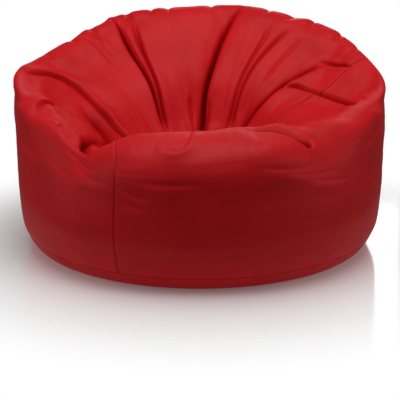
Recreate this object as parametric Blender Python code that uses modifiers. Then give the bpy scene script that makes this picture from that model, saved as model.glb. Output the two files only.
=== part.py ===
"""Bean bag chair: a leatherette cover sewn from wall panels that roll over the rim into a seat disc,
with a zip in the base seam, around a zipped lining sack full of polystyrene beads.

Metres, +Z up. The origin is on the floor under the middle of the base, and the chair faces -Y.
Azimuths are degrees about +Z, counted from the front (-Y) towards +X."""

from math import cos, radians, sin, sqrt

import bmesh
import bpy
from mathutils import Matrix, Vector

# ---- the bag's form -------------------------------------------------------------------------------
# One row for each station round the rim: azimuth, rim radius, rim height, wall radius at mid height,
# wall radius at its shoulder, and how far the shoulder lies below the rim.
RIM_STATIONS = (
    (0, 0.405, 0.405, 0.550, 0.530, 0.075),
    (22, 0.415, 0.413, 0.550, 0.530, 0.075),
    (43, 0.462, 0.377, 0.548, 0.508, 0.030),
    (58, 0.485, 0.405, 0.548, 0.527, 0.042),
    (72, 0.508, 0.436, 0.546, 0.536, 0.036),
    (92, 0.549, 0.469, 0.543, 0.553, 0.014),
    (108, 0.548, 0.535, 0.546, 0.554, 0.014),
    (130, 0.534, 0.612, 0.552, 0.546, 0.025),
    (150, 0.500, 0.655, 0.556, 0.522, 0.035),
    (170, 0.474, 0.667, 0.560, 0.505, 0.040),
    (190, 0.472, 0.663, 0.560, 0.503, 0.040),
    (210, 0.494, 0.640, 0.556, 0.520, 0.035),
    (232, 0.524, 0.578, 0.550, 0.540, 0.025),
    (250, 0.543, 0.526, 0.543, 0.553, 0.014),
    (266, 0.554, 0.490, 0.542, 0.559, 0.014),
    (288, 0.510, 0.437, 0.546, 0.530, 0.018),
    (302, 0.480, 0.402, 0.548, 0.499, 0.014),
    (317, 0.465, 0.354, 0.549, 0.492, 0.016),
    (335, 0.415, 0.392, 0.550, 0.528, 0.070),
)
CONTACT_RADIUS = 0.460  # the flat of the base that lies on the floor
BASE_SEAM_RADIUS = 0.530
BASE_SEAM_HEIGHT = 0.045
BAND_TOP = 0.090  # the wall stands upright from the base seam to here, where the zip is
SEAT_CENTRE = Vector((0.0, -0.030, 0.0))
SEAT_HEIGHT = 0.270
SEAT_DIP = 0.010  # the seat's middle lies this much below its edge
SEAT_RADIUS = 0.140

# The wall panels: the azimuths of the seams each lies between, and its columns of facets. The back
# panel's columns are spaced so that one of them is at LINER_ZIP_AZIMUTH.
FRONT_LEFT_SEAM = 336.0
PANELS = (
    ("front_right_panel", FRONT_LEFT_SEAM - 360.0, 107.0, 17),
    ("back_panel", 107.0, 216.5, 15),
    ("left_panel", 216.5, FRONT_LEFT_SEAM, 16),
)
# The front left seam runs straight up the wall and over the roll, so it comes to a lower azimuth
# where the bag narrows: how many degrees it has moved at each point of the profile, and how many
# degrees to either side the panels' facets lean with it.
SEAM_LEAN = (0, 0, 0, 0, 0, 0, 0, -0.6, -3.1, -7.8, -8.5, -7.0, -4.0, -1.5, 0, 0)
LEAN_REACH = 36.0
COVER_THICKNESS = 0.0012
LINER_THICKNESS = 0.0005
LAYER_GAP = 0.0005
SEAM_INSET = 0.0004  # each panel stops this far short of the seam line
LINER_DEPTH = COVER_THICKNESS + LAYER_GAP
FILL_DEPTH = LINER_DEPTH + LINER_THICKNESS + LAYER_GAP

# ---- zips ----------------------------------------------------------------------------------------
ZIP_HEIGHT = BASE_SEAM_HEIGHT + 0.009  # the cover zip's centre line
ZIP_RADIUS = BASE_SEAM_RADIUS - 0.0005  # the outer face of its tapes
ZIP_MIDDLE = 162.0
ZIP_HALF_ANGLE = 35.5
ZIP_SLOT_HALF_ANGLE = 36.0
LINER_ZIP_AZIMUTH = 180.0
LINER_ZIP_RADIUS = 0.530
LINER_ZIP_BOTTOM = 0.305
LINER_ZIP_TOP = 0.485
SLOT_HALF_WIDTH = 0.009
TAPE_EDGE = 0.0084  # tapes reach this far from the centre line
CHAIN_GAP_HALF = 0.0012  # the two coils leave this much each side for the slider's post
TAPE_THICKNESS = 0.0008
COIL_WIDTH = 0.0027
COIL_HEIGHT = 0.0022
COIL_LIFT = 0.0003
COIL_SETBACK = 0.006  # coils stop this far short of the tapes' ends
STOP_LENGTH = 0.003
SLIDER_LENGTH = 0.016
SLIDER_HALF_WIDTH = 0.006
PLATE_THICKNESS = 0.0013
POST_HALF_WIDTH = 0.0007
PULL_LENGTH = 0.030
PULL_HALF_WIDTH = 0.004
PULL_THICKNESS = 0.0014
PULL_PIVOT_OUT = 0.0057  # height of the pull's pivot above the tapes' outer face
# What lies behind each zip is held back to these radii, so that the slider runs clear of it.
LINER_BAND_RADIUS = 0.5255
FILL_BAND_RADIUS = 0.5245
LINER_DENT_RADIUS = LINER_ZIP_RADIUS
FILL_DENT_RADIUS = 0.524


def clear_scene():
    for obj in list(bpy.data.objects):
        bpy.data.objects.remove(obj)


def make_material(name, colour, roughness, metallic=0.0):
    material = bpy.data.materials.new(name)
    material.use_nodes = True
    shader = material.node_tree.nodes["Principled BSDF"]
    shader.inputs["Base Color"].default_value = (*colour, 1.0)
    shader.inputs["Roughness"].default_value = roughness
    shader.inputs["Metallic"].default_value = metallic
    return material


def make_collection(name):
    collection = bpy.data.collections.new(name)
    bpy.context.scene.collection.children.link(collection)
    return collection


def add_object(name, data, material, collection):
    obj = bpy.data.objects.new(name, data)
    if material:
        data.materials.append(material)
    collection.objects.link(obj)
    return obj


# ---- the form as a function of azimuth -----------------------------------------------------------
def rim_at(azimuth):
    """The rim station at an azimuth: a cubic through the neighbouring rows of RIM_STATIONS."""
    count = len(RIM_STATIONS)
    azimuth %= 360.0
    last = max(i for i in range(count) if RIM_STATIONS[i][0] <= azimuth)

    def row(i):
        turn, k = divmod(last + i, count)
        return (RIM_STATIONS[k][0] + 360.0 * turn, *RIM_STATIONS[k][1:])

    before, start, end, after = row(-1), row(0), row(1), row(2)
    span = end[0] - start[0]
    t = (azimuth - start[0]) / span
    values = []
    for k in range(1, len(start)):
        slope_in = (end[k] - before[k]) / (end[0] - before[0]) * span
        slope_out = (after[k] - start[k]) / (after[0] - start[0]) * span
        values.append(
            (2 * t**3 - 3 * t**2 + 1) * start[k]
            + (t**3 - 2 * t**2 + t) * slope_in
            + (3 * t**2 - 2 * t**3) * end[k]
            + (t**3 - t**2) * slope_out
        )
    return values


def outward(azimuth):
    return Vector((sin(radians(azimuth)), -cos(radians(azimuth)), 0.0))


def upright_profile(azimuth):
    """Points of the cover from the base's middle, up the wall, over the rim, to the seat's middle."""
    rim_radius, rim_height, wall_radius, shoulder_radius, roll = rim_at(azimuth)
    shoulder = rim_height - roll
    back = 0.5 - 0.5 * cos(radians(azimuth))  # 0 at the front, 1 at the back
    rise = rim_height - SEAT_HEIGHT
    inner = rim_radius - 0.100
    inner_drop = rise * (0.37 - 0.12 * back)
    # radius, height, and how far the point's centre has moved from the origin to the seat's centre
    points = (
        (0.0, 0.0, 0.0),
        (CONTACT_RADIUS, 0.0, 0.0),
        (CONTACT_RADIUS + 0.045, 0.010, 0.0),
        (BASE_SEAM_RADIUS, BASE_SEAM_HEIGHT, 0.0),
        (BASE_SEAM_RADIUS, BAND_TOP, 0.0),
        (wall_radius, 0.48 * shoulder, 0.0),
        (0.6 * wall_radius + 0.4 * shoulder_radius, 0.78 * shoulder, 0.0),
        (shoulder_radius, shoulder, 0.0),
        (0.45 * rim_radius + 0.55 * shoulder_radius, rim_height - 0.30 * roll, 0.0),
        (rim_radius, rim_height, 0.0),
        (rim_radius - 0.045, rim_height - 0.012 - 0.020 * back, 0.1),
        (inner, rim_height - inner_drop, 0.25),
        (0.5 * (inner + SEAT_RADIUS), SEAT_HEIGHT + 0.42 * rise, 0.6),
        (SEAT_RADIUS + 0.060, SEAT_HEIGHT + 0.10 * rise, 0.9),
        (SEAT_RADIUS, SEAT_HEIGHT, 1.0),
        (0.0, SEAT_HEIGHT - SEAT_DIP, 1.0),
    )
    return [outward(azimuth) * r + SEAT_CENTRE * w + Vector((0, 0, z)) for r, z, w in points]


def profile(azimuth):
    """The profile's points, those near the front left seam moved sideways as it leans."""
    off = abs((azimuth - FRONT_LEFT_SEAM + 180.0) % 360.0 - 180.0)
    share = max(0.0, 1.0 - off / LEAN_REACH)
    return [upright_profile(azimuth + share * lean)[row] for row, lean in enumerate(SEAM_LEAN)]


BASE_SEAM_ROW = 3
BAND_ROW = 4
WALL_ROW = 5
UPPER_WALL_ROW = 6
SEAT_EDGE_ROW = 14
SEAT_ROW = 15


def sunk_profile(azimuth, depth):
    """The profile moved inwards by depth, square to the surface at each of its points."""
    step = 1.0
    here, ahead, behind = (profile(azimuth + a) for a in (0.0, step, -step))
    points = [here[0] + Vector((0, 0, depth))]
    for i in range(1, len(here) - 1):
        along = (here[i + 1] - here[i]).normalized() + (here[i] - here[i - 1]).normalized()
        across = ahead[i] - behind[i]
        normal = across.cross(along).normalized()
        points.append(here[i] - normal * depth)
    points.append(here[-1] - Vector((0, 0, depth)))
    return points


def hold_back(point, radius):
    """The point moved towards the chair's axis until it is no further out than radius."""
    reach = sqrt(point.x**2 + point.y**2)
    scale = min(1.0, radius / reach)
    return Vector((point.x * scale, point.y * scale, point.z))


def inner_profile(azimuth, depth, band_radius, dent_radius):
    """A sunk profile that is also held back behind the cover's zip and behind the lining's."""
    points = sunk_profile(azimuth, depth)
    for row in (BASE_SEAM_ROW, BAND_ROW):
        points[row] = hold_back(points[row], band_radius)
    if abs(azimuth % 360.0 - LINER_ZIP_AZIMUTH) < 1.0:
        for row in (WALL_ROW, UPPER_WALL_ROW):
            points[row] = hold_back(points[row], dent_radius)
    return points


def columns_of(first, last, count):
    return [first + (last - first) * i / count for i in range(count + 1)]


def all_columns():
    return [a for _, first, last, count in PANELS for a in columns_of(first, last, count)[:-1]]


# ---- sheets and solids lofted between unlike profiles --------------------------------------------
def add_grid(bm, columns, closed):
    """Triangles between neighbouring columns of points. Every grid splits its quads the same way,
    so that layers one inside another stay parallel."""
    verts = [[bm.verts.new(p) for p in column] for column in columns]
    neighbours = verts[1:] + verts[:1] if closed else verts[1:]
    for left, right in zip(verts, neighbours):
        for i in range(len(left) - 1):
            bm.faces.new((left[i], right[i], right[i + 1]))
            bm.faces.new((left[i], right[i + 1], left[i + 1]))


def mesh_from(name, bm):
    mesh = bpy.data.meshes.new(name)
    bm.to_mesh(mesh)
    bm.free()
    return mesh


def loft(name, columns, closed):
    """A mesh of the grid, with the points that lie on one spot, such as a pole's, made one."""
    bm = bmesh.new()
    add_grid(bm, columns, closed)
    bmesh.ops.remove_doubles(bm, verts=bm.verts, dist=1e-5)
    return mesh_from(name, bm)


def thicken(obj, thickness):
    solidify = obj.modifiers.new("Thickness", "SOLIDIFY")
    solidify.thickness = thickness
    solidify.offset = -1.0


def cut(obj, cutter):
    boolean = obj.modifiers.new("Cut", "BOOLEAN")
    boolean.operation = "DIFFERENCE"
    boolean.object = cutter


def hide_cutter(obj):
    obj.hide_render = True
    obj.display_type = "WIRE"
    return obj


def arc_block(name, radii, heights, azimuths, segments):
    """A block bent round the chair's axis, between two radii, two heights and two azimuths."""
    (inner, outer), (low, high) = radii, heights
    bm = bmesh.new()
    section = ((inner, low), (outer, low), (outer, high), (inner, high), (inner, low))
    columns = [
        [outward(a) * r + Vector((0, 0, z)) for r, z in section]
        for a in columns_of(*azimuths, segments)
    ]
    add_grid(bm, columns, False)
    bmesh.ops.remove_doubles(bm, verts=bm.verts, dist=1e-6)
    bmesh.ops.holes_fill(bm, edges=bm.edges)
    bmesh.ops.recalc_face_normals(bm, faces=bm.faces)
    return mesh_from(name, bm)


def box_mesh(name, low, high):
    """A box between two corners."""
    bm = bmesh.new()
    bmesh.ops.create_cube(bm, size=1.0)
    low, high = Vector(low), Vector(high)
    bmesh.ops.scale(bm, vec=high - low, verts=bm.verts)
    bmesh.ops.translate(bm, vec=(low + high) / 2, verts=bm.verts)
    return mesh_from(name, bm)


def join(obj, others):
    """Fuses others into obj with one exact union and removes them."""
    for other in others:
        union = obj.modifiers.new("Join", "BOOLEAN")
        union.operation = "UNION"
        union.object = other
    bpy.context.view_layer.update()
    graph = bpy.context.evaluated_depsgraph_get()
    joined = bpy.data.meshes.new_from_object(obj.evaluated_get(graph))
    obj.modifiers.clear()
    obj.data = joined
    for other in others:
        bpy.data.objects.remove(other)
    return obj


# ---- cover ---------------------------------------------------------------------------------------
def edge_inset(points, azimuth, side):
    """Points moved sideways off a seam by SEAM_INSET, towards +azimuth where side is 1."""
    along = Vector((cos(radians(azimuth)), sin(radians(azimuth)), 0.0))
    return [p + along * (side * SEAM_INSET) for p in points]


def make_wall_panel(name, first, last, count, material, collection):
    columns = []
    for azimuth in columns_of(first, last, count):
        points = profile(azimuth)[BASE_SEAM_ROW : SEAT_EDGE_ROW + 1]
        points[0] = points[0] + Vector((0, 0, SEAM_INSET))
        points[-1] = points[-1] + outward(azimuth) * SEAM_INSET
        side = (azimuth == first) - (azimuth == last)
        columns.append(edge_inset(points, azimuth, side))
    panel = add_object(name, loft(name, columns, False), material, collection)
    thicken(panel, COVER_THICKNESS)
    return panel


def make_base_panel(material, collection):
    columns = []
    for azimuth in all_columns():
        points = profile(azimuth)[: BASE_SEAM_ROW + 1]
        points[-1] = points[-1] - Vector((0, 0, SEAM_INSET))
        columns.append(points)
    base = add_object("base_panel", loft("base_panel", columns, True), material, collection)
    thicken(base, COVER_THICKNESS)
    return base


def make_seat_disc(material, collection):
    columns = []
    for azimuth in all_columns():
        points = profile(azimuth)[SEAT_EDGE_ROW:]
        points[0] = points[0] - outward(azimuth) * SEAM_INSET
        columns.append(points)
    disc = add_object("seat_disc", loft("seat_disc", columns, True), material, collection)
    thicken(disc, COVER_THICKNESS)
    return disc


def make_cover(material, collection, cutters):
    make_base_panel(material, collection)
    make_seat_disc(material, collection)
    panels = {row[0]: make_wall_panel(*row, material, collection) for row in PANELS}
    slot = arc_block(
        "zip_slot",
        (BASE_SEAM_RADIUS - 0.03, BASE_SEAM_RADIUS + 0.03),
        (BASE_SEAM_HEIGHT - 0.01, ZIP_HEIGHT + SLOT_HALF_WIDTH),
        (ZIP_MIDDLE - ZIP_SLOT_HALF_ANGLE, ZIP_MIDDLE + ZIP_SLOT_HALF_ANGLE),
        18,
    )
    cut(panels["back_panel"], hide_cutter(add_object("zip_slot", slot, None, cutters)))


# ---- lining and beads ----------------------------------------------------------------------------
def make_liner(material, collection, cutters):
    rows = [
        inner_profile(a, LINER_DEPTH, LINER_BAND_RADIUS, LINER_DENT_RADIUS) for a in all_columns()
    ]
    lift = Vector((0, 0, SEAM_INSET))
    sack_columns = [[p[BASE_SEAM_ROW] + lift, *p[BASE_SEAM_ROW + 1 :]] for p in rows]
    sack = add_object("liner_sack", loft("liner_sack", sack_columns, True), material, collection)
    thicken(sack, LINER_THICKNESS)
    base_columns = [[*p[:BASE_SEAM_ROW], p[BASE_SEAM_ROW] - lift] for p in rows]
    base = add_object("liner_base", loft("liner_base", base_columns, True), material, collection)
    thicken(base, LINER_THICKNESS)
    slot = box_mesh(
        "liner_slot",
        (-SLOT_HALF_WIDTH, LINER_ZIP_RADIUS - 0.02, LINER_ZIP_BOTTOM - 0.001),
        (SLOT_HALF_WIDTH, LINER_ZIP_RADIUS + 0.02, LINER_ZIP_TOP + 0.001),
    )
    cut(sack, hide_cutter(add_object("liner_slot", slot, None, cutters)))


def make_beads(material, collection):
    columns = [
        inner_profile(a, FILL_DEPTH, FILL_BAND_RADIUS, FILL_DENT_RADIUS) for a in all_columns()
    ]
    return add_object("bead_fill", loft("bead_fill", columns, True), material, collection)


# ---- zips: each has a frame with X along it, Y across it and Z outwards ---------------------------
def arc_zip_frame(azimuth):
    origin = outward(azimuth) * ZIP_RADIUS + Vector((0, 0, ZIP_HEIGHT))
    along = Vector((cos(radians(azimuth)), sin(radians(azimuth)), 0.0))
    return frame_matrix(origin, along, Vector((0, 0, 1)), outward(azimuth))


def straight_zip_frame(height):
    origin = outward(LINER_ZIP_AZIMUTH) * LINER_ZIP_RADIUS + Vector((0, 0, height))
    out = outward(LINER_ZIP_AZIMUTH)
    up = Vector((0, 0, 1))
    return frame_matrix(origin, up, out.cross(up), out)


def frame_matrix(origin, x, y, z):
    matrix = Matrix((x, y, z)).transposed().to_4x4()
    matrix.translation = origin
    return matrix


def zip_strip(name, frames, across, out, material, collection):
    """A bar of rectangular section that follows a zip's frames."""
    bm = bmesh.new()
    (near, far), (low, high) = across, out
    section = ((near, low), (far, low), (far, high), (near, high), (near, low))
    columns = [[frame @ Vector((0, y, z)) for y, z in section] for frame in frames]
    add_grid(bm, columns, False)
    bmesh.ops.remove_doubles(bm, verts=bm.verts, dist=1e-6)
    bmesh.ops.holes_fill(bm, edges=bm.edges)
    bmesh.ops.recalc_face_normals(bm, faces=bm.faces)
    return add_object(name, mesh_from(name, bm), material, collection)


def make_chain(prefix, sides, tape_frames, coil_frames, materials, collection):
    """The two tapes of a zip and the coil sewn along each."""
    for side, sign in zip(sides, (-1, 1)):
        inner, outer = sorted((sign * CHAIN_GAP_HALF, sign * TAPE_EDGE))
        tape = ((inner, outer), (-TAPE_THICKNESS, 0.0))
        zip_strip(f"{prefix}_tape_{side}", tape_frames, *tape, materials["tape"], collection)
        inner, outer = sorted((sign * CHAIN_GAP_HALF, sign * (CHAIN_GAP_HALF + COIL_WIDTH)))
        coil = ((inner, outer), (COIL_LIFT, COIL_LIFT + COIL_HEIGHT))
        zip_strip(f"{prefix}_coil_{side}", coil_frames, *coil, materials["coil"], collection)


def make_stop(name, frame, low_side, high_side, material, collection):
    """A stop crimped on the tape: a small block across the chain, with bevelled edges."""
    mesh = box_mesh(
        name,
        (-STOP_LENGTH / 2, low_side, COIL_LIFT),
        (STOP_LENGTH / 2, high_side, COIL_LIFT + COIL_HEIGHT + 0.0004),
    )
    stop = add_object(name, mesh, material, collection)
    stop.matrix_world = frame
    bevel = stop.modifiers.new("Bevel", "BEVEL")
    bevel.width = 0.0004
    bevel.segments = 1
    return stop


def make_slider(name, frame, with_bridge, material, collection):
    """Two plates joined by a post that runs between the coils, with side flanges and a bridge."""
    half = SLIDER_LENGTH / 2
    plate_low = COIL_LIFT + COIL_HEIGHT + 0.0004
    plate_high = plate_low + PLATE_THICKNESS
    back_high = -TAPE_THICKNESS - 0.0005
    back_low = back_high - PLATE_THICKNESS
    body = add_object(
        name,
        box_mesh(name, (-half, -SLIDER_HALF_WIDTH, plate_low), (half, SLIDER_HALF_WIDTH, plate_high)),
        material,
        collection,
    )
    bits = [
        ((-half, -SLIDER_HALF_WIDTH, back_low), (half, SLIDER_HALF_WIDTH, back_high)),
        ((-0.003, -POST_HALF_WIDTH, back_high - 0.0003), (0.003, POST_HALF_WIDTH, plate_low + 0.0003)),
    ]
    flange_in = SLIDER_HALF_WIDTH - 0.0011
    for sign in (-1, 1):
        near, far = sorted((sign * flange_in, sign * SLIDER_HALF_WIDTH))
        bits.append(((-half, near, COIL_LIFT + 0.0003), (half, far, plate_low + 0.0003)))
    if with_bridge:
        leg_in, leg_out, top_low, top_high = 0.0035, 0.0047, 0.0073, 0.0085
        bits += [
            ((-leg_out, -0.0012, plate_high - 0.0003), (-leg_in, 0.0012, top_high)),
            ((leg_in, -0.0012, plate_high - 0.0003), (leg_out, 0.0012, top_high)),
            ((-leg_out, -0.0011, top_low), (leg_out, 0.0011, top_high - 0.0001)),
        ]
    others = [
        add_object(f"{name}_bit_{i}", box_mesh(f"{name}_bit_{i}", *bit), None, collection)
        for i, bit in enumerate(bits)
    ]
    join(body, others)
    body.matrix_world = frame
    return body


def make_pull(name, frame, material, collection):
    """The pull tab: a flat plate with an eye that goes round the slider's bridge, and a grip hole.
    It lies flat, pointing back along the zip, and its origin is on its pivot."""
    curve = bpy.data.curves.new(name, "CURVE")
    curve.dimensions = "2D"
    curve.fill_mode = "BOTH"
    curve.extrude = PULL_THICKNESS / 2

    def outline(points):
        spline = curve.splines.new("POLY")
        spline.points.add(len(points) - 1)
        for point, (x, y) in zip(spline.points, points):
            point.co = (x, y, 0.0, 1.0)
        spline.use_cyclic_u = True

    neck, tip, eye_bar = 0.010, PULL_LENGTH, 0.001
    half = PULL_HALF_WIDTH
    outline(
        [
            (eye_bar, -half),
            (eye_bar, half),
            (-neck, half),
            (-neck - 0.004, half * 0.7),
            (-tip + 0.005, half * 0.8),
            (-tip, half * 0.35),
            (-tip, -half * 0.35),
            (-tip + 0.005, -half * 0.8),
            (-neck - 0.004, -half * 0.7),
            (-neck, -half),
        ]
    )
    outline([(-eye_bar, -0.002), (-0.008, -0.002), (-0.008, 0.002), (-eye_bar, 0.002)])
    hole_x, hole_r = -tip + 0.006, 0.0016
    outline([(hole_x + hole_r * cos(a), hole_r * sin(a)) for a in (radians(45 * i) for i in range(8))])
    pull = add_object(name, curve, material, collection)
    pull.matrix_world = frame @ Matrix.Translation((0, 0, PULL_PIVOT_OUT))
    return pull


def arc_degrees(length):
    """The angle that a length of the cover's zip takes up round the chair, in degrees."""
    return length / ZIP_RADIUS / radians(1.0)


def make_cover_zip(materials, collection):
    first, last = ZIP_MIDDLE - ZIP_HALF_ANGLE, ZIP_MIDDLE + ZIP_HALF_ANGLE
    setback = arc_degrees(COIL_SETBACK)
    tape_frames = [arc_zip_frame(a) for a in columns_of(first, last, 34)]
    coil_frames = [arc_zip_frame(a) for a in columns_of(first + setback, last - setback, 34)]
    make_chain("zip", ("lower", "upper"), tape_frames, coil_frames, materials, collection)
    metal = materials["metal"]
    stop_setback = arc_degrees(COIL_SETBACK / 2)
    end, side = arc_zip_frame(last - stop_setback), CHAIN_GAP_HALF + COIL_WIDTH
    start = arc_zip_frame(first + stop_setback)
    make_stop("zip_bottom_stop", start, -side, side, metal, collection)
    make_stop("zip_top_stop_lower", end, -side, -CHAIN_GAP_HALF, metal, collection)
    make_stop("zip_top_stop_upper", end, CHAIN_GAP_HALF, side, metal, collection)
    closed = arc_zip_frame(last - setback - arc_degrees(SLIDER_LENGTH / 2))
    make_slider("zip_slider", closed, True, metal, collection)
    make_pull("zip_pull", closed, metal, collection)


def make_liner_zip(materials, collection):
    bottom, top = LINER_ZIP_BOTTOM, LINER_ZIP_TOP
    tape_frames = [straight_zip_frame(z) for z in (bottom, top)]
    coil_frames = [straight_zip_frame(z) for z in (bottom + COIL_SETBACK, top - COIL_SETBACK)]
    make_chain("liner_zip", ("left", "right"), tape_frames, coil_frames, materials, collection)
    metal = materials["metal"]
    side = CHAIN_GAP_HALF + COIL_WIDTH
    start = straight_zip_frame(bottom + COIL_SETBACK / 2)
    end = straight_zip_frame(top - COIL_SETBACK / 2)
    make_stop("liner_zip_bottom_stop", start, -side, side, metal, collection)
    make_stop("liner_zip_top_stop_left", end, -side, -CHAIN_GAP_HALF, metal, collection)
    make_stop("liner_zip_top_stop_right", end, CHAIN_GAP_HALF, side, metal, collection)
    closed = straight_zip_frame(top - COIL_SETBACK - SLIDER_LENGTH / 2)
    make_slider("liner_zip_slider", closed, False, metal, collection)


def main():
    clear_scene()
    leatherette = make_material("red_leatherette", (0.50, 0.014, 0.018), 0.45)
    lining = make_material("white_lining", (0.80, 0.80, 0.78), 0.9)
    beads = make_material("white_beads", (0.90, 0.90, 0.90), 0.8)
    metal = make_material("zip_metal", (0.45, 0.45, 0.46), 0.3, 1.0)
    cover_zip = {
        "tape": make_material("zip_tape", (0.30, 0.010, 0.013), 0.9),
        "coil": make_material("zip_coil", (0.25, 0.010, 0.012), 0.5),
        "metal": metal,
    }
    liner_zip = {
        "tape": make_material("liner_zip_tape", (0.75, 0.75, 0.73), 0.9),
        "coil": make_material("liner_zip_coil", (0.72, 0.72, 0.70), 0.5),
        "metal": metal,
    }
    chair = make_collection("bean_bag_chair")
    cutters = make_collection("cutters")
    make_cover(leatherette, chair, cutters)
    make_liner(lining, chair, cutters)
    make_beads(beads, chair)
    make_cover_zip(cover_zip, chair)
    make_liner_zip(liner_zip, chair)


main()
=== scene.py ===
"""The looks of the bean bag chair: a soft red leatherette cover with its pleats, folds and wrinkles,
topstitched seams and a coil zip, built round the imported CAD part.

Metres, +Z up, the chair facing -Y. Azimuths are degrees about +Z, counted from the front (-Y)
towards +X. A row is a place along the cover's profile: whole numbers are the profile's key points,
from 0 in the middle of the base, up the wall, over the rim at 9, to 15 in the middle of the seat."""

from collections import namedtuple
from math import cos, radians, sin

import bmesh
import bpy
import numpy as np
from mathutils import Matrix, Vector


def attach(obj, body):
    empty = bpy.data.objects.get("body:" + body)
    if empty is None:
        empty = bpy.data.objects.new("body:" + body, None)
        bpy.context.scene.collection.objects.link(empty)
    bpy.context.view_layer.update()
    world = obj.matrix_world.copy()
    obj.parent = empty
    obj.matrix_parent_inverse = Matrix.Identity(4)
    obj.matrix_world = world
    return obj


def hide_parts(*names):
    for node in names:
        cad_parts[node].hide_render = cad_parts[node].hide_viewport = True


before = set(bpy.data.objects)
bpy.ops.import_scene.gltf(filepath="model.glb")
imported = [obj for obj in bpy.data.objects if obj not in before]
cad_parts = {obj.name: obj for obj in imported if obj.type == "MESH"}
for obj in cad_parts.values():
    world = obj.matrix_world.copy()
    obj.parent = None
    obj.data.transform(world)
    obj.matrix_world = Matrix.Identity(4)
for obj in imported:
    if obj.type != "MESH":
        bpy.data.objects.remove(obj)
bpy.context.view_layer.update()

# ---- the bag's form, as in the CAD ----
# azimuth, rim radius, rim height, wall radius at mid height, wall radius at the shoulder, how far
# the shoulder lies below the rim, and the share of the rim's rise over the seat that the cover has
# lost 0.1 m inside the rim
RIM_STATIONS = (
    (0, 0.405, 0.405, 0.550, 0.530, 0.075, 0.37),
    (22, 0.415, 0.413, 0.550, 0.530, 0.075, 0.37),
    (43, 0.462, 0.377, 0.548, 0.508, 0.030, 0.40),
    (58, 0.485, 0.405, 0.548, 0.527, 0.042, 0.38),
    (72, 0.508, 0.436, 0.546, 0.536, 0.036, 0.36),
    (92, 0.549, 0.469, 0.543, 0.553, 0.010, 0.33),
    (108, 0.548, 0.535, 0.546, 0.554, 0.012, 0.30),
    (130, 0.534, 0.612, 0.552, 0.546, 0.025, 0.28),
    (150, 0.500, 0.655, 0.556, 0.522, 0.035, 0.26),
    (170, 0.474, 0.667, 0.560, 0.505, 0.040, 0.25),
    (190, 0.472, 0.663, 0.560, 0.503, 0.040, 0.25),
    (210, 0.494, 0.640, 0.556, 0.520, 0.035, 0.26),
    (232, 0.524, 0.578, 0.550, 0.540, 0.025, 0.28),
    (250, 0.543, 0.526, 0.543, 0.553, 0.014, 0.30),
    (266, 0.554, 0.490, 0.542, 0.559, 0.010, 0.33),
    (288, 0.510, 0.437, 0.546, 0.530, 0.018, 0.36),
    (302, 0.480, 0.402, 0.548, 0.499, 0.014, 0.38),
    (317, 0.465, 0.354, 0.549, 0.492, 0.016, 0.40),
    (335, 0.415, 0.392, 0.550, 0.528, 0.070, 0.37),
)
CONTACT_RADIUS = 0.460
BASE_SEAM_RADIUS = 0.530
BASE_SEAM_HEIGHT = 0.045
BAND_TOP = 0.090
WALL_LEAN = 0.008  # how far the wall has leant out by BAND_TOP
WALL_LEAN_FADE = 12.0  # degrees past the zip over which the wall comes to lean so
SEAT_CENTRE = np.array((0.0, -0.030, 0.0))
SEAT_HEIGHT = 0.270
SEAT_DIP = 0.010
SEAT_RADIUS = 0.140
BASE_SEAM_ROW = 3
SEAT_EDGE_ROW = 14
SEAT_ROW = 15

# The wall panels, and the azimuths of the seams each lies between.
FRONT_LEFT_SEAM = -24.0
RIGHT_SEAM = 107.0
BACK_LEFT_SEAM = 216.5
PANELS = (
    ("front_right_panel", FRONT_LEFT_SEAM, RIGHT_SEAM),
    ("back_panel", RIGHT_SEAM, BACK_LEFT_SEAM),
    ("left_panel", BACK_LEFT_SEAM, FRONT_LEFT_SEAM + 360.0),
)
# How far the front left seam leans: degrees it has moved at each of the profile's key points, and how
# many degrees to either side the panels' columns lean with it.
SEAM_LEAN = (0, 0, 0, 0, 0, 0, 0, -0.6, -3.1, -7.8, -8.5, -7.0, -4.0, -1.5, 0, 0)
LEAN_REACH = 36.0

# The cover's zip, as in the CAD, the strip of cloth behind it, and the lining's zip.
ZIP_HEIGHT = BASE_SEAM_HEIGHT + 0.009
ZIP_RADIUS = BASE_SEAM_RADIUS - 0.0005
ZIP_MIDDLE = 162.0
ZIP_HALF_ANGLE = 35.5
ZIP_SLOT_HALF_ANGLE = 36.0
ZIP_SLOT_TOP = ZIP_HEIGHT + 0.0095
ZIP_SLOT_END = 1.5  # degrees over which the slot closes at its ends
CHAIN_GAP_HALF = 0.0012
COIL_WIDTH = 0.0027
COIL_HEIGHT = 0.0022
COIL_LIFT = 0.0003
COIL_SETBACK = 0.006
TOOTH_PITCH = 0.0019
TOOTH_SHARE = 0.75  # of the pitch that a tooth takes up
FACING_BEYOND = 1.2
FACING_BEHIND = 0.0032
FACING_COLUMNS = 120
FACING_ROWS = 7
FACING_BOTTOM = 0.038
FACING_TOP = 0.078
LINER_ZIP_AZIMUTH = 180.0
LINER_ZIP_HALF_ANGLE = 3.5
LINER_ZIP_SPAN = (0.285, 0.505)
LINER_ZIP_BACK = 0.5262  # the lining lies no further out than this behind its zip
LINER_ZIP_INNER = 0.500  # what is further in than this isn't behind the zip

# ---- seams ----
SEAM_DIP = 0.0028
SEAM_DIP_WIDTH = 0.0020
BASE_DIP_SHARE = 0.25  # the base seam dips less than the others
HEM_DEPTH = 0.010
SEAM_COLUMNS = (0.0, 0.0010, 0.0024, 0.0045, 0.0075)  # how far from a seam the closest columns lie
SEAM_SIDE = 0.7  # degrees to either side of a seam at which its direction across is measured
STITCH_OFFSET = 0.0045
STITCH_LENGTH = 0.0040
STITCH_PITCH = 0.0058
STITCH_RADIUS = 0.00050
STITCH_LIFT = 0.2 * STITCH_RADIUS
STITCH_END_GAP = 0.006

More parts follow.
